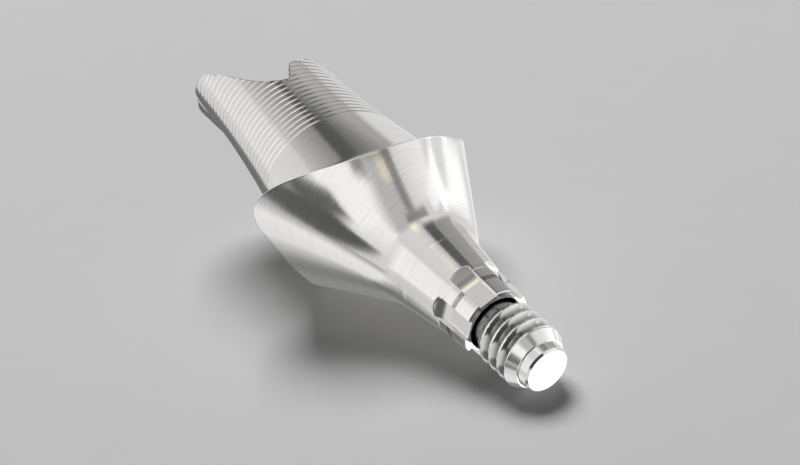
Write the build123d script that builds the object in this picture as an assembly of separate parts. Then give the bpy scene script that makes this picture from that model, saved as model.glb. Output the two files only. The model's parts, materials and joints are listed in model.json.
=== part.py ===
"""Angled implant abutment with a scalloped margin, and the screw that holds it, lying on a table.

Each piece is drawn upright on the screw's axis, with the screw's tip at height zero and the post
above it. Directions round that axis are in degrees. At the end both pieces are laid down together
on the screw's tip and two corners of the margin. Millimetres throughout.
"""
from build123d import *
from math import atan, cos, degrees, radians, sin, tan
import os

# Screw, from its tip upwards
thread_diameter = 1.8
thread_length = 1.3
thread_lead_height = 0.25
neck_diameter = 1.22
neck_height = 0.3
point_diameter = 1.13
point_bevel = 0.07
shank_diameter = 1.4
head_diameter = 2.1
head_height = 1.7
head_edge_bevel = 0.12
seat_height = 6.3
socket_across_flats = 1.25
socket_depth = 1.2
channel_diameter = 2.5
channel_above_head = 0.4

# Running clearances on the radius, and the gap from the thread's end to the connection
head_clearance = 0.035
mouth_clearance = 0.07
thread_clearance = 0.03
thread_end_gap = 0.08

# Connection that enters the implant
land_past_indexing = 0.3
indexing_diameter = 2.0
indexing_height = 0.87
indexing_flats = 6
first_flat_direction = 18
flat_width = 0.56
flat_depth = 0.13
flat_height = 0.76
flat_runout_radius = 0.6
ledge_height = 0.22
cone_start_diameter = 2.14
cone_end_diameter = 2.7
cone_height = 2.05

# Margin, as directions, radii and the fullness of the flare below them: 1 is a straight flare, and
# more than 1 a hollow one. Its surface is a saddle, an arc on each side of a sloping valley line.
margin_outline = (
    (0, 2.70, 1.8), (30, 2.61, 1.9), (60, 2.70, 1.9), (80, 2.80, 1.7), (98, 3.06, 1.3),
    (114, 3.57, 1.0), (132, 3.70, 0.97), (150, 3.60, 0.97), (188, 3.46, 1.02), (212, 3.00, 1.05),
    (231, 3.28, 1.1), (243, 3.00, 1.15), (263, 2.66, 1.3), (292, 2.69, 1.4), (319, 3.08, 1.4),
    (342, 2.94, 1.6),
)
resting_corners = (188, 231)
margin_height = 7.9
margin_slope = 19.3
margin_low_direction = 45.0
left_scallop_radius = 5.0
right_scallop_radius = 6.55
flare_foot_height = 4.45
flare_foot_diameter = 2.42
flare_levels = 6
flare_overrun = 1.4

# Post
post_foot_height = 7.81
post_lean = 5.0
post_lean_direction = 70.0
post_diameter = 4.28
post_ovality = 0.077
post_major_direction = -28.0
post_taper = 8.9
post_flare_out = 0.0138
post_past_crest = 0.97
post_root = 1.2

# Retention grooves
groove_count = 20
groove_pitch = 0.21
groove_width = 0.09
groove_depth = 0.05
groove_first = 1.83

# Crest of the post: a slanted cut, and a notch in the near wall between two horns. The notch is
# drawn as distance across and height above the crest's middle, from the high horn to the notch's
# corner and from there up the low horn.
crest_height = 14.24
crest_slope = 35.7
crest_high_direction = -98.7
notch_floor = ((-1.3, 0.96), (-0.45, 0.16), (0.0, -0.74), (0.42, -1.74), (1.15, -2.44))
low_horn = ((1.15, -2.44), (1.3, -2.12), (1.48, -1.77), (1.69, -1.62), (1.95, -1.46), (2.3, -1.24))
shoulder_overlap = 0.08

EXTRA = 3.0


def polar(radius, direction, height=0.0):
    """A point at a radius and direction round the screw's axis."""
    return Vector(radius * cos(radians(direction)), radius * sin(radians(direction)), height)


def turned(points):
    """A solid of revolution round the screw's axis from (radius, height) corners."""
    outline = Polyline(*[(r, 0, z) for r, z in points], close=True)
    return revolve(make_face(outline), Axis.Z, 360)


def column(radius, bottom, top):
    """A round column on the screw's axis."""
    return Pos(0, 0, bottom) * Cylinder(radius, top - bottom, align=(Align.CENTER, Align.CENTER, Align.MIN))


# Heights that several pieces share
thread_foot = neck_height + thread_lead_height
thread_top = thread_foot + thread_length
shank_start = thread_top + (thread_diameter - shank_diameter) / 2
connection_start = shank_start + thread_end_gap
cone_start = connection_start + indexing_height + ledge_height
cone_top = cone_start + cone_height
head_top = seat_height + head_height
channel_start = head_top + channel_above_head
post_top = crest_height - post_foot_height + post_past_crest
pocket_radius = head_diameter / 2 + head_clearance
bore_radius = thread_diameter / 2 + thread_clearance
mouth_radius = shank_diameter / 2 + mouth_clearance


# Margin surface
def margin_plane(drop=0.0):
    """The plane across the scallop's valley line, with its normal along that line."""
    run = polar(cos(radians(margin_slope)), margin_low_direction, -sin(radians(margin_slope)))
    across = polar(1, margin_low_direction + 90)
    return Plane(origin=(0, 0, margin_height - drop), x_dir=across, z_dir=run)


def margin_surface_height(radius, direction):
    """Height of the scalloped margin surface above the screw's tip."""
    turn = direction - margin_low_direction
    along = radius * cos(radians(turn))
    across = radius * sin(radians(turn))
    rise = scallop_rise(across, right_scallop_radius if across > 0 else left_scallop_radius)
    return margin_height - along * tan(radians(margin_slope)) + rise / cos(radians(margin_slope))


def scallop_rise(across, arc_radius):
    """How far one side of the saddle has risen at a distance across its valley line."""
    return arc_radius - (arc_radius ** 2 - across ** 2) ** 0.5


def scallop_arc(side, arc_radius):
    """One side of the saddle's arc, from the valley line outwards."""
    middle, end = (side / 2, scallop_rise(side / 2, arc_radius)), (side, scallop_rise(side, arc_radius))
    return ThreePointArc((0, 0), middle, end), end


def above_margin(drop=0.0):
    """All that lies above the scalloped margin surface, or above that surface lowered by a drop."""
    side = left_scallop_radius * 0.94
    left_arc, left = scallop_arc(-side, left_scallop_radius)
    right_arc, right = scallop_arc(side, right_scallop_radius)
    lid = 2 * margin_height
    rest = Polyline(right, (side, lid), (-side, lid), left)
    face = margin_plane(drop) * make_face(left_arc + right_arc + rest)
    return extrude(face, amount=2 * left_scallop_radius, both=True)


def flare_section(height):
    """Outline of the flare at one height, as a closed curve through the margin's directions."""
    foot = flare_foot_diameter / 2
    points = []
    for direction, radius, power in margin_outline:
        full = margin_surface_height(radius, direction) - flare_foot_height
        share = min((height - flare_foot_height) / full, flare_overrun)
        points.append(polar(foot + (radius - foot) * share ** power, direction, height))
    return make_face(Spline(*points, periodic=True))


def flare_blank():
    """The flare before its margin is cut, from inside the cone to above the margin's highest point."""
    highest = max(margin_surface_height(radius, direction) for direction, radius, _ in margin_outline)
    rise = highest + 0.2 - flare_foot_height
    sections = [Pos(0, 0, flare_foot_height) * Circle(flare_foot_diameter / 2)]
    for level in range(1, flare_levels + 1):
        sections.append(flare_section(flare_foot_height + rise * level / flare_levels))
    return loft(sections)


# Post
def post_axis_plane(up):
    """Plane across the leaning post, at a distance up the post from its foot."""
    lean = radians(post_lean)
    axis = polar(sin(lean), post_lean_direction, cos(lean))
    origin = Vector(0, 0, post_foot_height) + axis * up
    major = polar(1, post_major_direction)
    return Plane(origin=origin, x_dir=major - axis * major.dot(axis), z_dir=axis)


def post_radius(up):
    """Mean radius of the post at a distance up from its foot."""
    above = up - groove_first
    return post_diameter / 2 - tan(radians(post_taper)) * above + post_flare_out * above ** 2


def grooved_post():
    """The tapered oval post, ringed by narrow retention grooves that follow its outline."""
    foot = [(post_radius(-post_root), -post_root), (post_radius(0), 0)]
    half = groove_width / 2
    rings = []
    for number in range(groove_count):
        up = groove_first + number * groove_pitch
        rings += [
            (post_radius(up - half), up - half),
            (post_radius(up) - groove_depth, up),
            (post_radius(up + half), up + half),
        ]
    crown = [(post_radius(post_top), post_top), (0, post_top), (0, -post_root)]
    corners = [Vector(radius, 0, up) for radius, up in foot + rings + crown]
    round_post = revolve(make_face(Polyline(*corners, close=True)), Axis.Z, 360)
    oval_post = scale(round_post, by=(1 + post_ovality, 1 - post_ovality, 1))
    return post_axis_plane(0) * oval_post


def crest_cutter():
    """All that lies above the slanted crest."""
    size = 3 * post_diameter
    slope = radians(crest_slope)
    normal = polar(-sin(slope), crest_high_direction, cos(slope))
    plane = Plane(origin=(0, 0, crest_height), z_dir=normal)
    return plane * Box(size, size, size, align=(Align.CENTER, Align.CENTER, Align.MIN))


def notch_cutter():
    """The notch in the near wall and the top of the low horn beside it, from the channel outwards."""
    lid, outer = notch_floor[0][1], low_horn[-1]
    over = Polyline(outer, (outer[0], lid), notch_floor[0])
    crest = Plane(origin=(0, 0, crest_height), x_dir=(0, 1, 0), z_dir=(1, 0, 0))
    face = crest * make_face(Spline(*notch_floor) + Spline(*low_horn) + over)
    return extrude(face, amount=post_diameter)


def post():
    """The leaning post with its grooves and its two horns, down to just below the shoulder."""
    return grooved_post() & above_margin(shoulder_overlap) - crest_cutter() - notch_cutter()


# Connection
def indexing_flat(direction):
    """One milled flat between two lobes, run out upwards along the cutter's radius."""
    depth_radius = indexing_diameter / 2 - flat_depth
    top = connection_start + flat_height
    flat = Pos(depth_radius + EXTRA / 2, 0, top - EXTRA / 2) * Box(EXTRA, flat_width, EXTRA)
    runout = Pos(depth_radius + flat_runout_radius, 0, top) * Rot(90, 0, 0) * Cylinder(
        flat_runout_radius, flat_width)
    return Rot(0, 0, direction) * (flat + runout)


def connection():
    """The indexing lobes, the ledge above them and the cone, which ends inside the flare."""
    lobe = indexing_diameter / 2
    blank = turned([
        (0, connection_start), (lobe, connection_start), (lobe, connection_start + indexing_height),
        (cone_start_diameter / 2, cone_start), (cone_end_diameter / 2, cone_top), (0, cone_top),
    ])
    for number in range(indexing_flats):
        blank -= indexing_flat(first_flat_direction + number * 360 / indexing_flats)
    return blank


def channel():
    """The stepped hole for the screw: mouth, bore, head pocket and the driver's channel above."""
    land_top = cone_start + land_past_indexing
    return (
        column(mouth_radius, connection_start - EXTRA, land_top)
        + column(bore_radius, land_top, seat_height)
        + column(pocket_radius, seat_height, channel_start)
        + column(channel_diameter / 2, channel_start, post_foot_height + 2 * post_top)
    )


def abutment():
    """The abutment, one milled piece."""
    flare = flare_blank() - above_margin()
    body = connection() + flare + post()
    return body - channel()


def abutment_screw():
    """The screw: point, neck, threaded end, shank and head with a hexagon socket."""
    thread = thread_diameter / 2
    neck = neck_diameter / 2
    point = point_diameter / 2
    shank = shank_diameter / 2
    head = head_diameter / 2
    blank = turned([
        (0, 0), (point - point_bevel, 0), (point, point_bevel), (neck, neck_height),
        (thread, thread_foot), (thread, thread_top), (shank, shank_start),
        (shank, seat_height), (head, seat_height), (head, head_top - head_edge_bevel),
        (head - head_edge_bevel, head_top), (0, head_top),
    ])
    corner_radius = socket_across_flats / 2 / cos(radians(30))
    socket = extrude(RegularPolygon(corner_radius, 6), amount=socket_depth)
    return blank - Pos(0, 0, head_top - socket_depth) * socket


# Lying down
def resting_plane():
    """Plane of the table, through two corners of the margin and the edge of the screw's thread."""
    radii = {direction: radius for direction, radius, _ in margin_outline}
    corners = [polar(radii[d], d, margin_surface_height(radii[d], d)) for d in resting_corners]
    down = sum(resting_corners) / 2
    for _ in range(20):
        tip = polar(thread_diameter / 2, down, thread_foot)
        normal = (corners[0] - tip).cross(corners[1] - tip).normalized()
        if normal.dot(polar(1, down)) > 0:
            normal = -normal
        down = degrees(atan(normal.Y / normal.X)) if normal.X < 0 else 180 + degrees(atan(normal.Y / normal.X))
    along = Vector(0, 0, 1) - normal * normal.Z
    return Plane(origin=tip, x_dir=along, z_dir=normal)


def laid_down(pieces):
    """The pieces lying on the table, with the origin under the middle of their box."""
    table = resting_plane()
    lying = [table.location.inverse() * piece for piece in pieces]
    box = Compound(children=[Part() + piece for piece in lying]).bounding_box()
    middle = box.center()
    shift = Pos(-middle.X, -middle.Y, -box.min.Z)
    return [shift * piece for piece in lying], shift * table.location.inverse()


def main():
    """Build both pieces, lay them down and write them."""
    os.makedirs("parts", exist_ok=True)
    names = ("abutment", "abutment_screw")
    pieces, place = laid_down([abutment(), abutment_screw()])
    for name, piece in zip(names, pieces):
        export_step(piece, f"parts/{name}.step")
        print(name, "volume", round(piece.volume, 3))
    axis = (place * Pos(0, 0, 1)).position - place.position
    front = (place * Pos(1, 0, 0)).position - place.position
    print("screw tip", place.position, "axis", axis, "direction zero", front)


if __name__ == "__main__":
    main()
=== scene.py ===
"""Looks for the implant abutment and its screw, in milled and in turned titanium.

Both pieces are drawn in millimetres, upright on the screw's axis with the screw's tip at height
zero, as the part's source draws them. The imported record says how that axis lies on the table.
"""

import json
import logging
from dataclasses import dataclass, field
from enum import Enum
from math import cos, radians, sin, tan
from typing import Callable

import bmesh
import bpy
import numpy as np
from bpy.types import Material, Mesh, Node, NodeSocket, NodeTree, Object
from mathutils import Matrix, Vector

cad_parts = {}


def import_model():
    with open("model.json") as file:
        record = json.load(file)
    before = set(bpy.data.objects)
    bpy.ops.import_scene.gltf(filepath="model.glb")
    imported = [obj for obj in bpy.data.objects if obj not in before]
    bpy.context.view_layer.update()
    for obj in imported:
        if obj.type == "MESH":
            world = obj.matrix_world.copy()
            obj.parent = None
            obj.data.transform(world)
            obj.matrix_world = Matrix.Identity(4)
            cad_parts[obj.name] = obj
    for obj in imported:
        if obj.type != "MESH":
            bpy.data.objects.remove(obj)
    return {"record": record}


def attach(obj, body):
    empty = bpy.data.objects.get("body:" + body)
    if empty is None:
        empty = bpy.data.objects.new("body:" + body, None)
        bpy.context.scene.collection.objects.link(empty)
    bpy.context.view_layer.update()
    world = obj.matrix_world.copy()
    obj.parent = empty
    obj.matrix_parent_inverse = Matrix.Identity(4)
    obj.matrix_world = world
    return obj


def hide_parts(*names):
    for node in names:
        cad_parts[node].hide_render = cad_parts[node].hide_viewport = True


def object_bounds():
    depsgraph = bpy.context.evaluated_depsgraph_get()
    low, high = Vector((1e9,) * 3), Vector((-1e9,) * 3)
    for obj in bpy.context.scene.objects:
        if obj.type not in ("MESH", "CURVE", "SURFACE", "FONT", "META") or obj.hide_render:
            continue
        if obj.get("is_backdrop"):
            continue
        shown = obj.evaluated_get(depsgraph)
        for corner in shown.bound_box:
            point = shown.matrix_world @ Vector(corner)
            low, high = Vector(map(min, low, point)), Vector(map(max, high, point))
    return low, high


log = logging.getLogger("abutment")
MM = 0.001


class Slot(Enum):
    """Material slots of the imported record."""

    ABUTMENT = "milled_titanium"
    SCREW = "screw_titanium"


# Numbers shared with the part's source, in millimetres and degrees
MARGIN_OUTLINE = (
    (0, 2.70, 1.8), (30, 2.61, 1.9), (60, 2.70, 1.9), (80, 2.80, 1.7), (98, 3.06, 1.3),
    (114, 3.57, 1.0), (132, 3.70, 0.97), (150, 3.60, 0.97), (188, 3.46, 1.02), (212, 3.00, 1.05),
    (231, 3.28, 1.1), (243, 3.00, 1.15), (263, 2.66, 1.3), (292, 2.69, 1.4), (319, 3.08, 1.4),
    (342, 2.94, 1.6),
)
NOTCH_FLOOR = ((-1.3, 0.96), (-0.45, 0.16), (0.0, -0.74), (0.42, -1.74), (1.15, -2.44))
LOW_HORN = ((1.15, -2.44), (1.3, -2.12), (1.48, -1.77), (1.69, -1.62), (1.95, -1.46), (2.3, -1.24))
MARGIN_LOW_DIRECTION = 45.0
THREAD_MIDDLE = 1.2

# Points nearer than the first are joined, and edges shorter than the second are dropped
JOIN_DISTANCE = 2e-4
SHORT_EDGE = 1e-5


def cubic(xs: np.ndarray, ys: np.ndarray, at: np.ndarray, period: float = 0.0) -> np.ndarray:
    """A smooth cubic curve through points.

    Args:
        xs: Rising positions of the points.
        ys: Their values.
        at: Where the curve is read.
        period: Length after which the curve repeats, or 0 for an open curve with free ends.

    Returns:
        The curve's values at those places.
    """
    xs, ys, at = np.asarray(xs, float), np.asarray(ys, float), np.asarray(at, float)
    if period:
        xs, ys = np.append(xs, xs[0] + period), np.append(ys, ys[0])
        at = xs[0] + np.mod(at - xs[0], period)
    n = len(xs)
    h, rise = np.diff(xs), np.diff(ys) / np.diff(xs)
    system, right = np.zeros((n, n)), np.zeros(n)
    for i in range(1, n - 1):
        system[i, i - 1:i + 2] = h[i - 1], 2 * (h[i - 1] + h[i]), h[i]
        right[i] = 6 * (rise[i] - rise[i - 1])
    system[0, 0] = system[-1, -1] = 1
    if period:
        system[0, -1] = -1
        system[-1, :] = 0
        system[-1, 0], system[-1, 1] = 2 * h[0], h[0]
        system[-1, -2], system[-1, -1] = h[-1], 2 * h[-1]
        right[-1] = 6 * (rise[0] - rise[-1])
    bend = np.linalg.solve(system, right)
    i = np.clip(np.searchsorted(xs, at, side="right") - 1, 0, n - 2)
    left, step = at - xs[i], h[i]
    rest = step - left
    return (
        (bend[i] * rest ** 3 + bend[i + 1] * left ** 3) / (6 * step)
        + (ys[i] / step - bend[i] * step / 6) * rest
        + (ys[i + 1] / step - bend[i + 1] * step / 6) * left
    )


def smooth_max(a: np.ndarray, b: np.ndarray, radius: float) -> np.ndarray:
    """The larger of two surfaces, blended over about a radius where they meet."""
    gap = np.maximum(radius - np.abs(a - b), 0) / radius
    return np.maximum(a, b) + gap * gap * radius / 4


def smooth_step(value: np.ndarray) -> np.ndarray:
    """A soft rise from 0 to 1 as the value goes from 0 to 1."""
    value = np.clip(value, 0, 1)
    return value * value * (3 - 2 * value)


def rounding(radius: float, steps: int) -> list[tuple[float, float]]:
    """Corner points of a quarter round, as (distance in, distance down) from its sharp corner."""
    angles = [radians(90 * k / steps) for k in range(steps + 1)]
    return [(radius * (1 - cos(t)), radius * (1 - sin(t))) for t in angles]


def circle(turn: np.ndarray, radius: np.ndarray | float, height: np.ndarray | float) -> np.ndarray:
    """Make one ring of points round the screw's axis.

    Args:
        turn: Direction of each point, in radians.
        radius: Radius, one for all points or one each.
        height: Height above the screw's tip, likewise.

    Returns:
        The points.
    """
    height = np.broadcast_to(height, turn.shape)
    return np.stack([radius * np.cos(turn), radius * np.sin(turn), height], -1)


@dataclass(frozen=True)
class LocalFrame:
    """Where the upright drawing lies in the row frame."""

    tip: Vector
    axis: Vector
    zero: Vector

    @classmethod
    def from_record(cls, record: dict) -> "LocalFrame":
        """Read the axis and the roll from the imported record's mounts.

        Args:
            record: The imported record.

        Returns:
            The frame, in metres.
        """
        mounts = {mount["name"]: mount for mount in record["mounts"]}
        thread, low = mounts["implant_thread"], Vector(mounts["crown_shoulder"]["pos_m"])
        axis = -Vector(thread["axis"]).normalized()
        tip = Vector(thread["pos_m"]) - axis * THREAD_MIDDLE * MM
        out = low - tip
        out = (out - axis * out.dot(axis)).normalized()
        zero = Matrix.Rotation(radians(-MARGIN_LOW_DIRECTION), 3, axis) @ out
        return cls(tip=tip, axis=axis, zero=zero)

    def matrix(self) -> Matrix:
        """Find the step from the drawing to the row frame.

        Returns:
            The matrix that turns millimetres of the drawing into metres of the row frame.
        """
        side = self.axis.cross(self.zero)
        rows = [[self.zero[i] * MM, side[i] * MM, self.axis[i] * MM, self.tip[i]] for i in range(3)]
        return Matrix(rows + [[0, 0, 0, 1]])

    def turned(self, vector: Vector) -> Vector:
        """A direction of the drawing as a direction of the row frame."""
        return (self.matrix().to_3x3() @ vector).normalized()


@dataclass
class Shell:
    """A closed mesh made of rings of points, each ring with one point on every meridian."""

    rings: list[np.ndarray] = field(default_factory=list)
    # Painted shade by ring number, from 0 to 1 for each point of the ring
    painted_shades: dict[int, np.ndarray] = field(default_factory=dict)

    def add(self, *rings: np.ndarray) -> None:
        """Add rings after those that are there."""
        self.rings.extend(rings)

    def add_painted_shade(self, ring: np.ndarray, painted_shade: np.ndarray) -> None:
        """Add a ring, and how much painted shade each of its points gets, from 0 for none to 1 for
        full.
        """
        self.painted_shades[len(self.rings)] = painted_shade
        self.rings.append(ring)

    def bend(self, start: np.ndarray, corner: np.ndarray, end: np.ndarray, steps: int) -> None:
        """Add rings along a soft bend that rounds the corner between two surfaces."""
        for share in np.linspace(0, 1, steps):
            self.add((1 - share) ** 2 * start + 2 * share * (1 - share) * corner + share ** 2 * end)

    def faces(self, closed: bool) -> list[tuple[int, int, int, int]]:
        """List the four-sided faces between neighbouring rings.

        Args:
            closed: True if the last ring joins the first one.

        Returns:
            The faces, as numbers of their points.
        """
        count, rows = len(self.rings[0]), len(self.rings)
        faces = []
        for row in range(rows if closed else rows - 1):
            near, far = row * count, ((row + 1) % rows) * count
            for j in range(count):
                k = (j + 1) % count
                faces.append((near + j, near + k, far + k, far + j))
        return faces

    def build(self, name: str, place: LocalFrame, closed: bool, sharp_degrees: float) -> Object:
        """Make the object.

        Args:
            name: Name of the object.
            place: Where the drawing lies.
            closed: True if the last ring joins the first one. If not, both ends are single points.
            sharp_degrees: Edges that turn by more than this stay crisp.

        Returns:
            The finished object, at rest in the row frame.
        """
        mesh = bpy.data.meshes.new(name)
        mesh.from_pydata(np.concatenate(self.rings).tolist(), [], self.faces(closed))
        # Painted shade for every point, 0 on rings that have none; the finish darkens the colour
        # with it
        plain = np.zeros(len(self.rings[0]))
        painted_shade = np.concatenate([self.painted_shades.get(row, plain) for row in range(len(self.rings))])
        painted_shade_layer = mesh.attributes.new("painted_shade", "FLOAT", "POINT")
        painted_shade_layer.data.foreach_set("value", painted_shade.astype(np.float32))
        self.tidy(mesh)
        self.store_directions(mesh)
        mesh.transform(place.matrix())
        for polygon in mesh.polygons:
            polygon.use_smooth = True
        mesh.set_sharp_from_angle(angle=radians(sharp_degrees))
        mesh.update()
        obj = bpy.data.objects.new(name, mesh)
        bpy.context.scene.collection.objects.link(obj)
        return obj

    @staticmethod
    def tidy(mesh: Mesh) -> None:
        """Join points that lie in one place and turn every face outwards.

        Args:
            mesh: The closed mesh, in millimetres of the drawing.
        """
        work = bmesh.new()
        work.from_mesh(mesh)
        bmesh.ops.remove_doubles(work, verts=work.verts, dist=JOIN_DISTANCE)
        bmesh.ops.dissolve_degenerate(work, edges=work.edges, dist=SHORT_EDGE)
        bmesh.ops.recalc_face_normals(work, faces=work.faces)
        if work.calc_volume(signed=True) < 0:
            bmesh.ops.reverse_faces(work, faces=work.faces)
        work.to_mesh(mesh)
        work.free()

    @staticmethod
    def store_directions(mesh: Mesh) -> None:
        """Keep each point's place in the drawing, for the finish to read.

        Args:
            mesh: The mesh, still in millimetres of the drawing.
        """
        flat = np.empty(len(mesh.vertices) * 3, np.float32)
        mesh.vertices.foreach_get("co", flat)
        places = mesh.attributes.new("drawing", "FLOAT_VECTOR", "POINT")
        places.data.foreach_set("vector", flat)


def plain_material(name: str) -> tuple[Material, NodeTree, Node]:
    """Make a new material.

    Args:
        name: Name of the material.

    Returns:
        The material, its nodes, and the node that gives its surface.
    """
    material = bpy.data.materials.new(name)
    material.use_nodes = True
    return material, material.node_tree, material.node_tree.nodes["Principled BSDF"]


@dataclass(frozen=True)
class TurnedTitanium:
    """Bright titanium with fine turning lines round the screw's axis.

    The finish is a metal whose reflection is drawn out across its lines. Strokes of noise, long
    round the axis and thin along it, vary the colour and the roughness and tilt the surface.
    """

    name: str
    color: tuple[float, float, float]
    roughness: float
    anisotropy: float
    stroke_density: float
    stroke_depth: float
    stroke_shade: float
    stroke_gloss: float
    # Share of the colour left at full painted shade; 1 paints no shade
    painted_shade_factor: float = 1.0
    stroke_length: float = 0.9
    band_density_share: float = 0.3
    band_length: float = 0.5
    noise_range: tuple[float, float] = (0.3, 0.7)

    def build(self, place: LocalFrame) -> Material:
        """Make the material.

        Args:
            place: Where the drawing lies, for the direction of the lines.

        Returns:
            The material.
        """
        material, tree, surface = plain_material(self.name)
        surface.inputs["Metallic"].default_value = 1
        surface.inputs["Anisotropic"].default_value = self.anisotropy
        drawing = self.stored(tree, "drawing").outputs["Vector"]
        strokes = self.strokes(tree, drawing, self.stroke_density, self.stroke_length)
        band_density = self.stroke_density * self.band_density_share
        bands = self.strokes(tree, drawing, band_density, self.band_length)
        low, high = self.roughness - self.stroke_gloss, self.roughness + self.stroke_gloss
        tree.links.new(self.tangent(tree, drawing, place), surface.inputs["Tangent"])
        tree.links.new(self.paint(tree, strokes), surface.inputs["Base Color"])
        tree.links.new(self.spread(tree, bands, low, high), surface.inputs["Roughness"])
        tree.links.new(self.scratches(tree, strokes), surface.inputs["Normal"])
        return material

    @staticmethod
    def stored(tree: NodeTree, name: str) -> Node:
        """Read one of the values that the mesh keeps at its points.

        Args:
            tree: The material's nodes.
            name: Name of the value.

        Returns:
            The node that reads it.
        """
        node = tree.nodes.new("ShaderNodeAttribute")
        node.attribute_name = name
        return node

    def paint(self, tree: NodeTree, strokes: NodeSocket) -> NodeSocket:
        """Vary the colour with the strokes, and darken it with the painted shade that the mesh
        marks.

        Args:
            tree: The material's nodes.
            strokes: The noise in strokes.

        Returns:
            The colour.
        """
        bright = self.spread(tree, strokes, 1 - self.stroke_shade, 1 + self.stroke_shade)
        # Painted shade: the colour falls from full where the mesh marks none to the shade share
        # where it marks full
        painted_dim = tree.nodes.new("ShaderNodeMapRange")
        painted_dim.inputs["To Min"].default_value = 1
        painted_dim.inputs["To Max"].default_value = self.painted_shade_factor
        tree.links.new(self.stored(tree, "painted_shade").outputs["Fac"], painted_dim.inputs["Value"])
        shade = tree.nodes.new("ShaderNodeMath")
        shade.operation = "MULTIPLY"
        tree.links.new(bright, shade.inputs[0])
        tree.links.new(painted_dim.outputs["Result"], shade.inputs[1])
        paint = tree.nodes.new("ShaderNodeVectorMath")
        paint.operation = "SCALE"
        paint.inputs[0].default_value = self.color
        tree.links.new(shade.outputs["Value"], paint.inputs["Scale"])
        return paint.outputs["Vector"]

    def scratches(self, tree: NodeTree, strokes: NodeSocket) -> NodeSocket:
        """Tilt the surface a little with the strokes.

        Args:
            tree: The material's nodes.
            strokes: The noise in strokes.

        Returns:
            The surface's direction.
        """
        bump = tree.nodes.new("ShaderNodeBump")
        bump.inputs["Strength"].default_value = 1
        bump.inputs["Distance"].default_value = self.stroke_depth * MM
        tree.links.new(strokes, bump.inputs["Height"])
        return bump.outputs["Normal"]

    @staticmethod
    def tangent(tree: NodeTree, drawing: NodeSocket, place: LocalFrame) -> NodeSocket:
        """Find the direction of the turning lines at each point.

        Args:
            tree: The material's nodes.
            drawing: Each point's place in the drawing.
            place: Where the drawing lies.

        Returns:
            The direction, at whatever angle the piece's body is.
        """
        outward = tree.nodes.new("ShaderNodeVectorMath")
        outward.operation = "MULTIPLY"
        outward.inputs[1].default_value = (1, 1, 0)
        tree.links.new(drawing, outward.inputs[0])
        across = tree.nodes.new("ShaderNodeVectorMath")
        across.operation = "CROSS_PRODUCT"
        across.inputs[0].default_value = (0, 0, 1)
        tree.links.new(outward.outputs["Vector"], across.inputs[1])
        turn = tree.nodes.new("ShaderNodeMapping")
        turn.vector_type = "VECTOR"
        turn.inputs["Rotation"].default_value = place.matrix().to_3x3().normalized().to_euler()
        tree.links.new(across.outputs["Vector"], turn.inputs["Vector"])
        world = tree.nodes.new("ShaderNodeVectorTransform")
        world.vector_type = "VECTOR"
        world.convert_from, world.convert_to = "OBJECT", "WORLD"
        tree.links.new(turn.outputs["Vector"], world.inputs["Vector"])
        unit = tree.nodes.new("ShaderNodeVectorMath")
        unit.operation = "NORMALIZE"
        tree.links.new(world.outputs["Vector"], unit.inputs[0])
        return unit.outputs["Vector"]

    @staticmethod
    def strokes(tree: NodeTree, drawing: NodeSocket, density: float, along: float) -> NodeSocket:
        """Make noise in strokes that run round the axis.

        Args:
            tree: The material's nodes.
            drawing: Each point's place in the drawing.
            density: Strokes to a millimetre of height.
            along: Changes to a millimetre round the axis.

        Returns:
            The noise.
        """
        stretch = tree.nodes.new("ShaderNodeMapping")
        stretch.inputs["Scale"].default_value = (along, along, density)
        tree.links.new(drawing, stretch.inputs["Vector"])
        pattern = tree.nodes.new("ShaderNodeTexNoise")
        pattern.inputs["Scale"].default_value = 1
        pattern.inputs["Detail"].default_value = 3
        pattern.inputs["Roughness"].default_value = 0.6
        tree.links.new(stretch.outputs["Vector"], pattern.inputs["Vector"])
        return pattern.outputs["Fac"]

    def spread(self, tree: NodeTree, noise: NodeSocket, low: float, high: float) -> NodeSocket:
        """Stretch a noise over a range.

        Args:
            tree: The material's nodes.
            noise: The noise, most of it within the finish's noise range.
            low: Value at the foot of that range.
            high: Value at its top.

        Returns:
            The stretched value.
        """
        shade = tree.nodes.new("ShaderNodeMapRange")
        shade.inputs["From Min"].default_value = self.noise_range[0]
        shade.inputs["From Max"].default_value = self.noise_range[1]
        shade.inputs["To Min"].default_value = low
        shade.inputs["To Max"].default_value = high
        tree.links.new(noise, shade.inputs["Value"])
        return shade.outputs["Result"]


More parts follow.
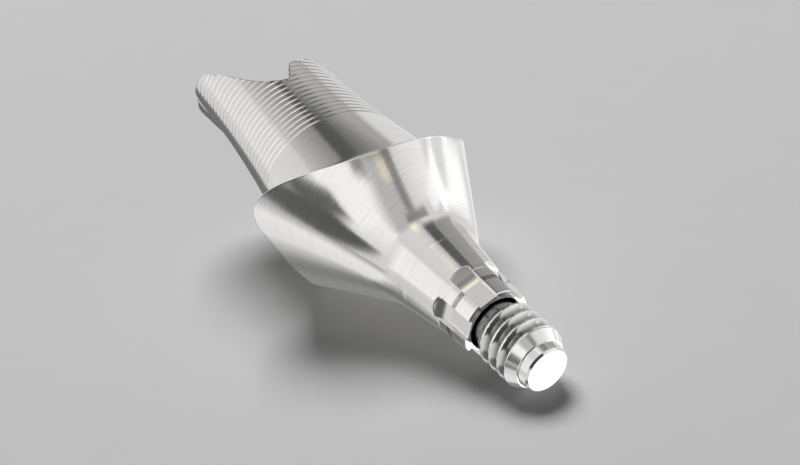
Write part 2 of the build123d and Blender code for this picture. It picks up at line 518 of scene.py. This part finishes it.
@dataclass
class Abutment:
    """The abutment, from its lobed connection to the horns of its post. Sizes in millimetres."""

    flat_columns: int = 14
    lobe_columns: int = 16
    flare_rows: int = 118
    straight_start: float = 2.3
    straight_end: float = 2.85
    straight_rows: int = 4
    row_step: float = 0.022
    narrow_step: float = 0.004
    channel_rows: int = 22
    connection_start: float = 2.13
    lobe_radius: float = 1.0
    lobe_top_radius: float = 1.062
    lobe_top: float = 3.17
    flat_radius: float = 0.87
    flat_top: float = 2.7
    flat_half_angle: float = 16.3
    wall_angle: float = 0.45
    runout_radius: float = 1.2
    first_flat_direction: float = 18.0
    edge_bevel: float = 0.025
    cone_start: float = 3.22
    cone_start_radius: float = 1.07
    cone_slope: float = 0.28 / 2.05
    body_foot: float = 3.45
    flare_foot_height: float = 4.45
    flare_foot_radius: float = 1.21
    neck_fillet: float = 0.05
    margin_height: float = 7.9
    margin_slope: float = 19.3
    left_scallop: float = 5.0
    right_scallop: float = 6.55
    margin_edge: float = 0.045
    soft_corner: float = 0.4
    soft_corner_direction: float = 112.0
    soft_corner_spread: float = 24.0
    shoulder_fillet: float = 0.62
    post_foot_height: float = 7.81
    post_lean: float = 5.0
    post_lean_direction: float = 70.0
    post_diameter: float = 4.28
    post_ovality: float = 0.077
    post_major_direction: float = -28.0
    post_taper: float = 8.9
    post_flare_out: float = 0.0138
    groove_count: int = 28
    groove_pitch: float = 0.21
    groove_width: float = 0.07
    groove_depth: float = 0.02
    rows_past_grooves: int = 3
    groove_lip: float = 0.012
    groove_floor_share: float = 0.1
    groove_first: float = 1.83
    post_top: float = 7.6
    horn_round: float = 0.12
    crest_height: float = 14.24
    crest_slope: float = 35.7
    crest_high_direction: float = -98.7
    crest_round: float = 0.06
    notch_edge: float = 0.12
    channel_radius: float = 1.25
    channel_start: float = 8.4
    pocket_radius: float = 1.085
    seat_height: float = 6.3
    bore_radius: float = 0.93
    land_top: float = 3.52
    mouth_radius: float = 0.77
    mouth_middle: float = 3.0

    def directions(self) -> np.ndarray:
        """List the meridians, with a close pair at each wall between a flat and a lobe.

        Returns:
            Their directions, in degrees.
        """
        half, wall = self.flat_half_angle, self.wall_angle
        flat = np.linspace(-half, half, self.flat_columns)
        lobe = np.linspace(half + wall, 60 - half - wall, self.lobe_columns)
        sector = np.concatenate([flat, lobe])
        return np.concatenate([self.first_flat_direction + 60 * k + sector for k in range(6)])

    def flat_share(self) -> np.ndarray:
        """Measure each meridian from the middle of its flat.

        Returns:
            The angles in degrees, or not a number on a lobe.
        """
        flat = np.linspace(-self.flat_half_angle, self.flat_half_angle, self.flat_columns)
        return np.tile(np.concatenate([flat, np.full(self.lobe_columns, np.nan)]), 6)

    def ring(self, radius: np.ndarray | float, height: np.ndarray | float) -> np.ndarray:
        """One ring of points on the abutment's meridians."""
        return circle(np.radians(self.directions()), radius, height)

    def margin_surface(self, x: np.ndarray, y: np.ndarray) -> np.ndarray:
        """Find the height of the scalloped margin surface.

        Args:
            x: Places along the drawing's direction zero.
            y: Places a quarter turn from it.

        Returns:
            The surface's height over each place.
        """
        low, slope = radians(MARGIN_LOW_DIRECTION), radians(self.margin_slope)
        along, across = x * cos(low) + y * sin(low), -x * sin(low) + y * cos(low)
        arc = np.where(across > 0, self.right_scallop, self.left_scallop)
        rise = arc - np.sqrt(np.maximum(arc ** 2 - across ** 2, 0.01))
        return self.margin_height - along * tan(slope) + rise / cos(slope)

    def margin(self) -> tuple[np.ndarray, np.ndarray, np.ndarray]:
        """Find the margin on every meridian.

        Returns:
            Its radius, the fullness of the flare below it, and its height.
        """
        around = self.directions()
        turns, radii, powers = zip(*MARGIN_OUTLINE)
        radius, power = cubic(turns, radii, around, 360), cubic(turns, powers, around, 360)
        rim = self.ring(radius, 0)
        return radius, power, self.margin_surface(rim[:, 0], rim[:, 1])

    def connection_radius(self, height: float) -> np.ndarray:
        """Find the radius of the lobes, flats and cone.

        Args:
            height: Height above the screw's tip.

        Returns:
            The radius on every meridian.
        """
        widening = (height - self.connection_start) / (self.lobe_top - self.connection_start)
        lobe = self.lobe_radius + min(widening, 1) * (self.lobe_top_radius - self.lobe_radius)
        cone = self.cone_start_radius + self.cone_slope * (height - self.cone_start)
        outer = lobe if height <= self.lobe_top else cone
        over = min(max(height - self.flat_top, 0), self.runout_radius * 0.999)
        floor = self.flat_radius + self.runout_radius - (self.runout_radius ** 2 - over ** 2) ** 0.5
        share = self.flat_share()
        milled = np.minimum(floor / np.cos(np.radians(np.nan_to_num(share))), outer)
        return np.where(np.isnan(share), outer, milled)

    def flare_radius(self, share: np.ndarray) -> np.ndarray:
        """Find the radius of the cone and flare.

        Args:
            share: Share of the way up from the cone's foot to the margin, on every meridian.

        Returns:
            The radius on every meridian.
        """
        radius, power, top = self.margin()
        height = self.body_foot + (top - self.body_foot) * share
        cone = self.cone_start_radius + self.cone_slope * (height - self.cone_start)
        rise = np.clip((height - self.flare_foot_height) / (top - self.flare_foot_height), 0, 1)
        flare = self.flare_foot_radius + (radius - self.flare_foot_radius) * rise ** power
        flare -= np.maximum(self.flare_foot_height - height, 0)
        return smooth_max(cone, flare, self.neck_fillet)

    def post_frame(self) -> tuple[np.ndarray, np.ndarray, np.ndarray, np.ndarray]:
        """Find how the leaning post stands.

        Returns:
            Its foot, major direction, minor direction and axis.
        """
        lean, turn = radians(self.post_lean), radians(self.post_lean_direction)
        axis = np.array([sin(lean) * cos(turn), sin(lean) * sin(turn), cos(lean)])
        turn = radians(self.post_major_direction)
        major = np.array([cos(turn), sin(turn), 0])
        major -= axis * (major @ axis)
        major /= np.linalg.norm(major)
        return np.array([0, 0, self.post_foot_height]), major, np.cross(axis, major), axis

    def post_radius(self, up: np.ndarray) -> np.ndarray:
        """Mean radius of the smooth post at a distance up from its foot."""
        above = up - self.groove_first
        narrowing = tan(radians(self.post_taper)) * above - self.post_flare_out * above ** 2
        return self.post_diameter / 2 - narrowing

    def post_ring(self, up: np.ndarray | float, inset: np.ndarray | float = 0.0) -> np.ndarray:
        """Make one ring of points round the leaning post.

        Args:
            up: Distance up the post from its foot, one for all meridians or one each.
            inset: How deep in a groove the points lie, likewise.

        Returns:
            The points.
        """
        foot, major, minor, axis = self.post_frame()
        turn = np.radians(self.directions() - self.post_major_direction)
        up = np.broadcast_to(up, turn.shape)
        radius = self.post_radius(up) - inset
        wide, narrow = radius * (1 + self.post_ovality), radius * (1 - self.post_ovality)
        out = np.outer(wide * np.cos(turn), major) + np.outer(narrow * np.sin(turn), minor)
        return foot + np.outer(up, axis) + out

    def crest(self, x: np.ndarray, y: np.ndarray) -> np.ndarray:
        """Find the height of the crest: the slanted cut, and the notch in the near wall.

        Args:
            x: Places along the drawing's direction zero.
            y: Places a quarter turn from it.

        Returns:
            The crest's height over each place.
        """
        high, slope = radians(self.crest_high_direction), tan(radians(self.crest_slope))
        cut = self.crest_height + slope * (x * cos(high) + y * sin(high))
        axis = self.post_frame()[3]
        end = self.post_foot_height + (self.post_top - x * axis[0] - y * axis[1]) / axis[2]
        cut = -smooth_max(-cut, -end, self.horn_round)
        floor_y, floor_z = zip(*NOTCH_FLOOR)
        horn_y, horn_z = zip(*LOW_HORN)
        drop = np.where(y < horn_y[0], cubic(floor_y, floor_z, y), cubic(horn_y, horn_z, y))
        beside = (y < floor_y[0]) | (y > horn_y[-1])
        depth = np.where(beside, 0, np.maximum(cut - drop - self.crest_height, 0))
        return cut - smooth_step(x / self.notch_edge / 2 + 0.5) * depth

    def climb(
        self, target: Callable[[np.ndarray, np.ndarray], np.ndarray], start: float, end: float,
    ) -> np.ndarray:
        """Distance up the post at which its wall meets a surface.

        Args:
            target: Function that gives the surface's height over x and y.
            start: A distance up that is below the surface.
            end: A distance up that is above it.

        Returns:
            The distance on every meridian.
        """
        count = len(self.directions())
        low, high = np.full(count, start), np.full(count, end)
        for _ in range(30):
            middle = (low + high) / 2
            ring = self.post_ring(middle)
            under = ring[:, 2] < target(*ring[:, :2].T)
            low, high = np.where(under, middle, low), np.where(under, high, middle)
        return low

    def groove_rows(self, start: float) -> list[tuple[float, float]]:
        """List the rows of the grooved zone.

        Args:
            start: Distance up the post that the rows begin above.

        Returns:
            Each row's distance up the post, with the depth of the surface there.
        """
        half, lip = self.groove_width / 2, self.groove_lip
        floor, rows = half * self.groove_floor_share, []
        for number in range(self.groove_count + self.rows_past_grooves):
            up = self.groove_first + number * self.groove_pitch
            deep = self.groove_depth if number < self.groove_count else 0.0
            rows += [(up - half - lip, 0), (up - half, 0), (up - floor, deep)]
            rows += [(up + floor, deep), (up + half, 0), (up + half + lip, 0)]
        return [row for row in rows if row[0] > start]

    def connection_heights(self) -> np.ndarray:
        """List the rows of the lobes and flats, from the end face to the foot of the plain cone.

        Returns:
            Their heights, close together where the flats run out.
        """
        step, top, narrow = self.row_step, self.lobe_top, self.narrow_step
        straight = np.linspace(self.straight_start, self.straight_end, self.straight_rows)
        runout = np.arange(self.flat_top, top - step / 2, step)
        cone = np.arange(top + narrow + step, self.body_foot, step)
        return np.concatenate([straight, runout, [top, top + narrow], cone])

    def lower_rings(self, shell: Shell) -> None:
        """Add the end face, the lobes and flats, and the cone and flare up to the margin.

        Args:
            shell: The mesh being made.
        """
        bevel, start, mouth = self.edge_bevel, self.connection_start, self.mouth_radius
        rim = self.connection_radius(start)
        shell.add(self.ring(mouth, start + bevel), self.ring(mouth + bevel, start))
        shell.add(self.ring(rim - bevel, start), self.ring(rim, start + bevel))
        for height in self.connection_heights():
            shell.add(self.ring(self.connection_radius(height), height))
        for share in np.linspace(0, 1, self.flare_rows)[:-1]:
            shell.add(self.flare_ring(share * self.flare_end()))

    def rim_edge(self) -> np.ndarray:
        """How far the margin's edge is rounded, on every meridian."""
        away = np.abs(self.directions() - self.soft_corner_direction) / self.soft_corner_spread
        return self.margin_edge + (self.soft_corner - self.margin_edge) * smooth_step(1 - away)

    def flare_end(self) -> np.ndarray:
        """Share of the way up at which the flare gives way to the rounded edge."""
        return 1 - self.rim_edge() / (self.margin()[2] - self.body_foot)

    def flare_ring(self, share: np.ndarray) -> np.ndarray:
        """One ring round the flare, at a share of the way from its foot to the margin."""
        height = self.body_foot + (self.margin()[2] - self.body_foot) * share
        return self.ring(self.flare_radius(share), height)

    def shoulder_rings(self, shell: Shell) -> np.ndarray:
        """Add the margin's edge, the shoulder and the fillet at the post's foot.

        Args:
            shell: The mesh being made.

        Returns:
            How far up the post the fillet ends, on every meridian.
        """
        radius, _, top = self.margin()
        edge = self.rim_edge()
        inner = self.ring(radius - edge, 0)
        inner[:, 2] = self.margin_surface(*inner[:, :2].T)
        shell.bend(self.flare_ring(self.flare_end()), self.ring(radius, top), inner, 7)
        meet = self.climb(self.margin_surface, -2.5, 3.0)
        foot, rim = self.post_ring(meet), self.ring(radius - edge, 0)
        gap = np.linalg.norm(foot[:, :2] - rim[:, :2], axis=1)
        fillet = np.minimum(self.shoulder_fillet, gap * 0.9)
        near = foot[:, :2] + (rim[:, :2] - foot[:, :2]) * (fillet / gap)[:, None]
        for share in (0.33, 0.66):
            flat = rim[:, :2] + (near - rim[:, :2]) * share
            shell.add(np.column_stack([flat, self.margin_surface(*flat.T)]))
        begin = np.column_stack([near, self.margin_surface(*near.T)])
        shell.bend(begin, foot, self.post_ring(meet + fillet), 10)
        return meet + fillet

    def post_rings(self, shell: Shell, start: np.ndarray) -> np.ndarray:
        """Add the smooth band, the grooves and the rounded crest, down to the channel's mouth.

        Args:
            shell: The mesh being made.
            start: How far up the post the fillet at its foot ends, on every meridian.

        Returns:
            Where each meridian meets the channel, as x and y.
        """
        crest = self.climb(lambda x, y: self.crest(x, y) - self.crest_round, 1.0, 9.0)
        grooves = self.groove_rows(self.groove_first - 1)
        for share in np.linspace(0, 1, 16)[1:-1]:
            shell.add(self.post_ring(np.minimum(start + (grooves[0][0] - start) * share, crest)))
        for up, deep in grooves:
            shell.add(self.post_ring(np.minimum(up, crest), np.where(up < crest, deep, 0)))
        last = self.post_ring(crest)
        turn = np.arctan2(last[:, 1], last[:, 0])
        inner = self.channel_radius * np.stack([np.cos(turn), np.sin(turn)], -1)
        inward = inner - last[:, :2]
        width = np.linalg.norm(inward, axis=1)[:, None]
        outer_corner = rounding(self.crest_round, 4)
        steps = [(into / width, down) for into, down in outer_corner]
        steps += [(share, 0.0) for share in (0.2, 0.4, 0.6, 0.8)]
        steps += [(1 - into / width, down) for into, down in reversed(outer_corner)]
        for share, down in steps:
            flat = last[:, :2] + inward * share
            shell.add(np.column_stack([flat, self.crest(*flat.T) - down]))
        return inner

    def channel_rings(self, shell: Shell, rim: np.ndarray) -> None:
        """Add the driver's channel, the head's pocket, the bore and the mouth.

        Args:
            shell: The mesh being made.
            rim: Where each meridian meets the channel, as x and y.
        """
        top = self.crest(*rim.T) - self.crest_round
        turn = np.arctan2(rim[:, 1], rim[:, 0])
        for share in np.linspace(0, 1, self.channel_rows)[1:]:
            height = top + (self.channel_start - top) * share
            shell.add(circle(turn, self.channel_radius, height))
        for radius, height in (
            (self.pocket_radius, self.channel_start), (self.pocket_radius, self.seat_height),
            (self.bore_radius, self.seat_height), (self.bore_radius, self.land_top),
            (self.mouth_radius, self.land_top),
        ):
            shell.add(circle(turn, radius, height))
        shell.add(self.ring(self.mouth_radius, self.mouth_middle))

    def build(self, place: LocalFrame, finish: Material) -> Object:
        """Make the abutment and put it on its body.

        Args:
            place: Where the drawing lies.
            finish: The finish for its faces.

        Returns:
            The abutment.
        """
        shell = Shell()
        self.lower_rings(shell)
        rim = self.post_rings(shell, self.shoulder_rings(shell))
        self.channel_rings(shell, rim)
        obj = shell.build("milled_abutment", place, closed=True, sharp_degrees=38)
        obj.data.materials.append(finish)
        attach(obj, "abutment")
        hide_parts("abutment")
        return obj


@dataclass
class Screw:
    """The screw, from its flat point to the socket in its head. Sizes in millimetres."""

    columns: int = 144
    neck_rows: int = 9
    step_height: float = 0.004
    thread_row_step: float = 0.0115
    point_radius: float = 0.66
    point_bevel: float = 0.055
    neck_radius: float = 0.69
    neck_step: float = 0.04
    neck_height: float = 0.3
    lead_top: float = 0.6
    thread_radius: float = 0.9
    thread_pitch: float = 0.34
    thread_depth: float = 0.16
    thread_phase: float = 0.15
    crest_share: float = 0.13
    root_share: float = 0.03
    root_softness: float = 0.25
    thread_fade: float = 0.1
    thread_fade_start: float = 0.58
    thread_top: float = 1.74
    shank_start: float = 1.9
    shank_radius: float = 0.7
    seat_height: float = 6.3
    head_radius: float = 1.05
    head_top: float = 8.0
    head_bevel: float = 0.12
    socket_flats: float = 1.25
    socket_depth: float = 1.2

    def ring(self, radius: np.ndarray | float, height: float) -> np.ndarray:
        """One ring of points on the screw's meridians."""
        return circle(np.radians(np.arange(self.columns) * 360 / self.columns), radius, height)

    def thread_ring(self, shell: Shell, height: float) -> None:
        """Add one ring across the helical thread, with its crests, grooves and run-outs, and
        painted shade deepest in its roots.

        Args:
            shell: The mesh being made.
            height: Height of the ring above the tip.
        """
        share = np.arange(self.columns) / self.columns
        phase = np.mod(height / self.thread_pitch + self.thread_phase - share, 1.0)
        away = np.abs(phase - 0.5) * 2
        flank = (1 - self.crest_share - away) / (1 - self.crest_share - self.root_share)
        soft = self.root_softness
        groove = (1 - soft) * np.clip(flank, 0, 1) + soft * smooth_step(flank)
        fade = smooth_step((height - self.thread_fade_start) / self.thread_fade)
        heights = (self.neck_height, self.lead_top, self.thread_top, self.shank_start)
        foot, full = self.neck_radius + self.neck_step, self.thread_radius
        blank = np.interp(height, heights, (foot, full, full, self.shank_radius))
        radius = np.minimum(blank, full - self.thread_depth * groove * fade)
        # Painted shade, deepest in the thread's roots and fading in with the thread
        painted_shade = smooth_step((self.thread_radius - radius) / self.thread_depth) * fade
        shell.add_painted_shade(self.ring(radius, height), painted_shade)

    def socket_radius(self) -> np.ndarray:
        """Find the radius of the hexagon socket on every meridian."""
        turn = np.arange(self.columns) * 360 / self.columns
        return self.socket_flats / 2 / np.cos(np.radians(np.mod(turn, 60) - 30))

    def threaded_end(self, shell: Shell) -> None:
        """Add the flat point, the neck, and the thread with its run-outs.

        Args:
            shell: The mesh being made.
        """
        point, bevel = self.point_radius, self.point_bevel
        neck, top = self.neck_radius, self.neck_height
        shell.add(self.ring(0, 0), self.ring(point - bevel, 0), self.ring(point, bevel))
        for share in np.linspace(0, 1, self.neck_rows)[1:]:
            shell.add(self.ring(point + (neck - point) * share, bevel + (top - bevel) * share))
        shell.add(self.ring(neck + self.neck_step, top + self.step_height))
        step = self.thread_row_step
        for height in np.arange(top + step, self.shank_start, step):
            self.thread_ring(shell, height)

    def shank_and_head(self, shell: Shell) -> None:
        """Add the shank, fully in painted shade, the head and its hexagon socket.

        Args:
            shell: The mesh being made.
        """
        # Full painted shade over the shank, for the dark gap under the abutment's mouth
        for height in (self.shank_start, self.seat_height):
            shell.add_painted_shade(self.ring(self.shank_radius, height), np.ones(self.columns))
        head, bevel, top = self.head_radius, self.head_bevel, self.head_top
        shell.add(self.ring(head, self.seat_height), self.ring(head, top - bevel))
        shell.add(self.ring(head - bevel, top), self.ring(self.socket_radius(), top))
        floor = top - self.socket_depth
        shell.add(self.ring(self.socket_radius(), floor), self.ring(0, floor))

    def build(self, place: LocalFrame, finish: Material) -> Object:
        """Make the screw and put it on its body.

        Args:
            place: Where the drawing lies.
            finish: The finish for its faces.

        Returns:
            The screw.
        """
        shell = Shell()
        self.threaded_end(shell)
        self.shank_and_head(shell)
        obj = shell.build("abutment_fixing_screw", place, closed=False, sharp_degrees=30)
        obj.data.materials.append(finish)
        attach(obj, "screw")
        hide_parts("abutment_screw")
        return obj


@dataclass(frozen=True)
class Glow:
    """A soft-edged patch of the studio's dome, bright or dark, that the metal reflects.

    Azimuths run round the screw's axis from the drawing's direction zero, and tilts from -90
    beyond the screw's tip to 90 beyond the post. Degrees throughout.
    """

    name: str
    azimuths: tuple[float, float]
    tilts: tuple[float, float]
    levels: tuple[float, float]
    soft: float = 5.0
    tint: tuple[float, float, float] = (1.0, 1.0, 1.0)

    def over(self, azimuth: np.ndarray, tilt: np.ndarray) -> tuple[np.ndarray, np.ndarray]:
        """Find how the patch covers the dome.

        Args:
            azimuth: Azimuths of places on the dome.
            tilt: Their tilts.

        Returns:
            How much of the patch covers each place, from 0 to 1, and how bright it is there.
        """
        middle, half = sum(self.azimuths) / 2, (self.azimuths[1] - self.azimuths[0]) / 2
        away = np.mod(azimuth - middle + 180, 360) - 180
        low, high = self.tilts
        cover = np.ones(azimuth.shape)
        for inside in (half - np.abs(away), tilt - low, high - tilt):
            cover *= smooth_step(inside / self.soft + 0.5)
        share = np.clip(away / half / 2 + 0.5, 0, 1)
        return cover, self.levels[0] + (self.levels[1] - self.levels[0]) * share


@dataclass(frozen=True)
class Lamp:
    """A soft lamp that lights the floor. Its place is in the row frame, from the part's middle."""

    name: str
    direction: tuple[float, float, float]
    distance: float
    size: tuple[float, float]
    power: float


@dataclass
class Studio:
    """Floor, lights and camera. Lengths in millimetres until they are placed."""

    focal_pixels: float = 2100.0
    picture_pixels: float = 800.0
    sensor_width: float = 36.0
    floor_size: float = 600.0
    floor_grey: float = 0.7
    floor_speckle: float = 0.015
    sky_strength: float = 0.06
    dome_radius: float = 150.0
    dome_step: int = 3
    dome_level: float = 0.75
    origin: tuple[float, float, float] = (3.65809496, -3.42742912, -52.0276729)
    across: tuple[float, float, float] = (-0.46861944, 0.67482492, -0.57009398)
    upward: tuple[float, float, float] = (0.42973958, 0.73797693, 0.52030178)
    backward: tuple[float, float, float] = (0.77182881, -0.00116842, -0.63582932)

    def camera(self, place: LocalFrame) -> Object:
        """Make the camera at the photo's viewing angle.

        Args:
            place: Where the drawing lies.

        Returns:
            The camera.
        """
        right, up, back = (Vector(v) for v in (self.across, self.upward, self.backward))
        spot = -(right * self.origin[0] + up * self.origin[1] + back * self.origin[2])
        data = bpy.data.cameras.new("camera")
        data.sensor_width = self.sensor_width
        data.lens = self.focal_pixels / self.picture_pixels * self.sensor_width
        data.clip_start, data.clip_end = 0.001, 5
        camera = bpy.data.objects.new("camera", data)
        columns = [place.turned(v) for v in (right, up, back)]
        turn = Matrix([[c[i] for c in columns] for i in range(3)]).to_4x4()
        camera.matrix_world = Matrix.Translation(place.matrix() @ spot) @ turn
        bpy.context.scene.collection.objects.link(camera)
        bpy.context.scene.camera = camera
        return camera

    def floor(self) -> Object:
        """Make the plain pale floor.

        Returns:
            The floor.
        """
        half = self.floor_size * MM / 2
        mesh = bpy.data.meshes.new("floor")
        corners = [(-half, -half, 0), (half, -half, 0), (half, half, 0), (-half, half, 0)]
        mesh.from_pydata(corners, [], [(0, 1, 2, 3)])
        material, tree, surface = plain_material("floor_paint")
        surface.inputs["Roughness"].default_value = 0.9
        surface.inputs["Specular IOR Level"].default_value = 0.1
        place = tree.nodes.new("ShaderNodeTexCoord")
        speckle = tree.nodes.new("ShaderNodeTexNoise")
        speckle.inputs["Scale"].default_value = 900
        shade = tree.nodes.new("ShaderNodeMapRange")
        shade.inputs["To Min"].default_value = self.floor_grey * (1 - self.floor_speckle)
        shade.inputs["To Max"].default_value = self.floor_grey * (1 + self.floor_speckle)
        tree.links.new(place.outputs["Object"], speckle.inputs["Vector"])
        tree.links.new(speckle.outputs["Fac"], shade.inputs["Value"])
        tree.links.new(shade.outputs["Result"], surface.inputs["Base Color"])
        mesh.materials.append(material)
        floor = bpy.data.objects.new("floor", mesh)
        floor.visible_glossy = False
        bpy.context.scene.collection.objects.link(floor)
        floor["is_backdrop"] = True
        return floor

    def sky(self) -> None:
        """Make the soft surrounding light."""
        world = bpy.data.worlds.new("studio")
        world.use_nodes = True
        background = world.node_tree.nodes["Background"]
        background.inputs["Color"].default_value = (1, 1, 1, 1)
        background.inputs["Strength"].default_value = self.sky_strength
        bpy.context.scene.world = world

    def dome(self, place: LocalFrame, middle: Vector) -> Object:
        """Make the dome that only reflections see, painted with the glows.

        Args:
            place: Where the drawing lies.
            middle: The part's middle.

        Returns:
            The dome.
        """
        step = self.dome_step
        azimuth, tilt = np.meshgrid(np.arange(0, 360, step), np.arange(-90, 91, step))
        rows, columns = azimuth.shape
        paint = np.full((*azimuth.shape, 3), self.dome_level)
        for glow in GLOWS:
            cover, level = glow.over(azimuth, tilt)
            paint += cover[..., None] * (level[..., None] * np.array(glow.tint) - paint)
        points = []
        for a, t in zip(np.radians(azimuth.ravel()), np.radians(tilt.ravel())):
            toward = place.turned(Vector((cos(t) * cos(a), cos(t) * sin(a), sin(t))))
            points.append(middle + toward * self.dome_radius * MM)
        index = np.arange(rows * columns).reshape(rows, columns)
        beside = np.roll(index, -1, axis=1)
        corners = np.stack([index[:-1], beside[:-1], beside[1:], index[1:]], -1)
        mesh = bpy.data.meshes.new("dome")
        mesh.from_pydata(points, [], corners.reshape(-1, 4).tolist())
        colors = np.concatenate([paint.reshape(-1, 3), np.ones((rows * columns, 1))], 1)
        glows = mesh.attributes.new("glow", "FLOAT_COLOR", "POINT")
        glows.data.foreach_set("color", colors.ravel())
        mesh.materials.append(self.dome_paint())
        dome = bpy.data.objects.new("dome", mesh)
        dome.visible_camera = False
        dome.visible_diffuse = False
        dome.visible_shadow = False
        dome.visible_transmission = False
        bpy.context.scene.collection.objects.link(dome)
        dome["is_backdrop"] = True
        return dome

    @staticmethod
    def dome_paint() -> Material:
        """Make the dome's plain glowing paint.

        Returns:
            The paint.
        """
        material, tree, surface = plain_material("dome_paint")
        surface.inputs["Base Color"].default_value = (0, 0, 0, 1)
        surface.inputs["Specular IOR Level"].default_value = 0
        surface.inputs["Emission Strength"].default_value = 1
        glow = tree.nodes.new("ShaderNodeAttribute")
        glow.attribute_name = "glow"
        tree.links.new(glow.outputs["Color"], surface.inputs["Emission Color"])
        return material

    @staticmethod
    def hang(lamp: Lamp, middle: Vector) -> Object:
        """Hang one lamp round the part.

        Args:
            lamp: What the lamp is and where it hangs.
            middle: The part's middle.

        Returns:
            The lamp.
        """
        toward = Vector(lamp.direction).normalized()
        data = bpy.data.lights.new(lamp.name, "AREA")
        data.shape = "RECTANGLE"
        data.size, data.size_y = lamp.size[0] * MM, lamp.size[1] * MM
        data.energy = lamp.power
        obj = bpy.data.objects.new(lamp.name, data)
        obj.visible_glossy = False
        turn = toward.to_track_quat("Z", "Y").to_matrix().to_4x4()
        obj.matrix_world = Matrix.Translation(middle + toward * lamp.distance * MM) @ turn
        bpy.context.scene.collection.objects.link(obj)
        return obj


MILLED = TurnedTitanium(
    "milled_titanium", (0.84, 0.83, 0.815), 0.11, 0.6, 38, 0.0005, 0.06, 0.03)
# The screw's finish; its last value is the share of colour left at full painted shade in the thread
# roots and on the shank
TURNED = TurnedTitanium(
    "turned_titanium", (0.85, 0.85, 0.84), 0.13, 0.3, 22, 0.0001, 0.02, 0.03, 0.28)

LAMPS = (
    Lamp("lamp_above", (0.5, -0.25, 1.0), 400, (200, 200), 1.34),
)

GLOWS = (
    Glow("white_left", (321, 358), (-60, 14), (1.02, 1.06)),
    Glow("grey_middle", (4, 50), (-60, 14), (0.52, 0.56)),
    Glow("thin_dark_line", (31, 45), (-60, -8), (0.28, 0.24), 6),
    Glow("right_soft", (50, 108), (-60, -8), (0.74, 1.0), 8),
    Glow("dark_by_neck", (24, 70), (-8, 6), (0.24, 0.34), 6),
    Glow("right_white", (86, 124), (-12, 4), (1.0, 1.3), 5),
    Glow("right_upper", (84, 111), (4, 22), (0.74, 0.74), 4),
    Glow("right_band", (110, 124), (2, 12), (1.25, 1.3), 3),
    Glow("right_grey", (124, 146), (-8, 9), (0.78, 0.84), 3),
    Glow("right_band_far", (124, 147), (8, 15), (1.25, 1.2), 3),
    Glow("right_band_top", (118, 149), (16, 24), (0.75, 0.75), 3),
    Glow("right_edge", (124, 176), (20, 42), (0.7, 1.05), 4),
    Glow("left_light", (312, 354), (-8, 14), (0.78, 1.0), 5),
    Glow("left_floor", (224, 264), (-6, 30), (0.82, 0.96), 6),
    Glow("left_fall", (266, 280), (-6, 20), (0.78, 0.35), 4),
    Glow("dark_left_high", (278, 316), (-18, 4), (0.13, 0.09), 6),
    Glow("dark_left_low", (300, 329), (-25, -12), (0.12, 0.14), 4),
    Glow("dark_line_front", (349, 362), (-45, -33), (0.3, 0.3), 4),
    Glow("under_part", (176, 223), (-12, 50), (0.26, 0.3), 5),
    Glow("under_edge", (212, 232), (24, 33), (0.24, 0.3), 4),
    Glow("neck_left_dark", (214, 262), (27, 42), (0.2, 0.2), 4),
    Glow("neck_left_low", (263, 293), (24, 42), (0.66, 0.7), 5),
    Glow("neck_left", (293, 352), (18, 42), (1.03, 0.98), 5),
    Glow("neck_front", (-10, 14), (18, 44), (0.7, 0.76), 6),
    Glow("neck_top", (14, 42), (18, 44), (0.8, 0.6), 6),
    Glow("post_front", (266, 364), (44, 80), (0.82, 0.72), 8),
    Glow("post_fall", (-4, 46), (44, 80), (0.6, 0.28), 8),
    Glow("dark_above", (46, 74), (18, 80), (0.08, 0.12), 8),
    Glow("neck_right", (74, 118), (20, 46), (0.3, 0.4), 6),
    Glow("neck_right_far", (118, 156), (30, 46), (0.42, 0.6), 6),
    Glow("post_right", (72, 114), (46, 80), (0.16, 0.42), 6),
    Glow("post_right_low", (60, 104), (39, 48), (0.62, 0.52), 3),
    Glow("post_right_far", (114, 176), (42, 80), (0.76, 0.82), 6),
    Glow("post_left_dark", (194, 236), (42, 80), (0.16, 0.16), 6),
    Glow("tip_white", (120, 208), (-52, -26), (1.5, 1.5), 6),
    Glow("tip_left_dark", (208, 254), (-80, -18), (0.16, 0.2), 6),
    Glow("tip_right_dark", (113, 135), (-75, -53), (0.08, 0.1), 4),
    Glow("tip_right_light", (94, 113), (-86, -58), (1.2, 1.1), 4),
    Glow("dark_by_camera", (-55, 48), (-85, -43), (0.05, 0.08), 8),
    Glow("beyond_post", (0, 360), (78, 95), (1.3, 1.3), 5),
    Glow("warm_glint_near", (24, 38), (12, 21), (1.1, 1.1), 4, (1.0, 0.9, 0.74)),
    Glow("warm_glint_far", (17, 31), (-42, -31), (0.8, 0.8), 5, (1.0, 0.9, 0.74)),
)


def main() -> None:
    """Build both pieces, the studio and the camera."""
    logging.basicConfig(level=logging.INFO, format="%(message)s")
    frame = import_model()
    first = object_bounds()
    place = LocalFrame.from_record(frame["record"])
    abutment = Abutment().build(place, MILLED.build(place))
    log.info("abutment: %d faces", len(abutment.data.polygons))
    screw = Screw().build(place, TURNED.build(place))
    log.info("screw: %d faces", len(screw.data.polygons))
    studio = Studio()
    studio.floor()
    studio.sky()
    studio.camera(place)
    middle = (first[0] + first[1]) / 2
    for lamp in LAMPS:
        studio.hang(lamp, middle)
        log.info("lamp %s", lamp.name)
    studio.dome(place, middle)
    log.info("dome with %s", ", ".join(glow.name for glow in GLOWS))
    scene = bpy.context.scene
    scene.view_settings.view_transform = "Standard"


if __name__ == "__main__":
    main()
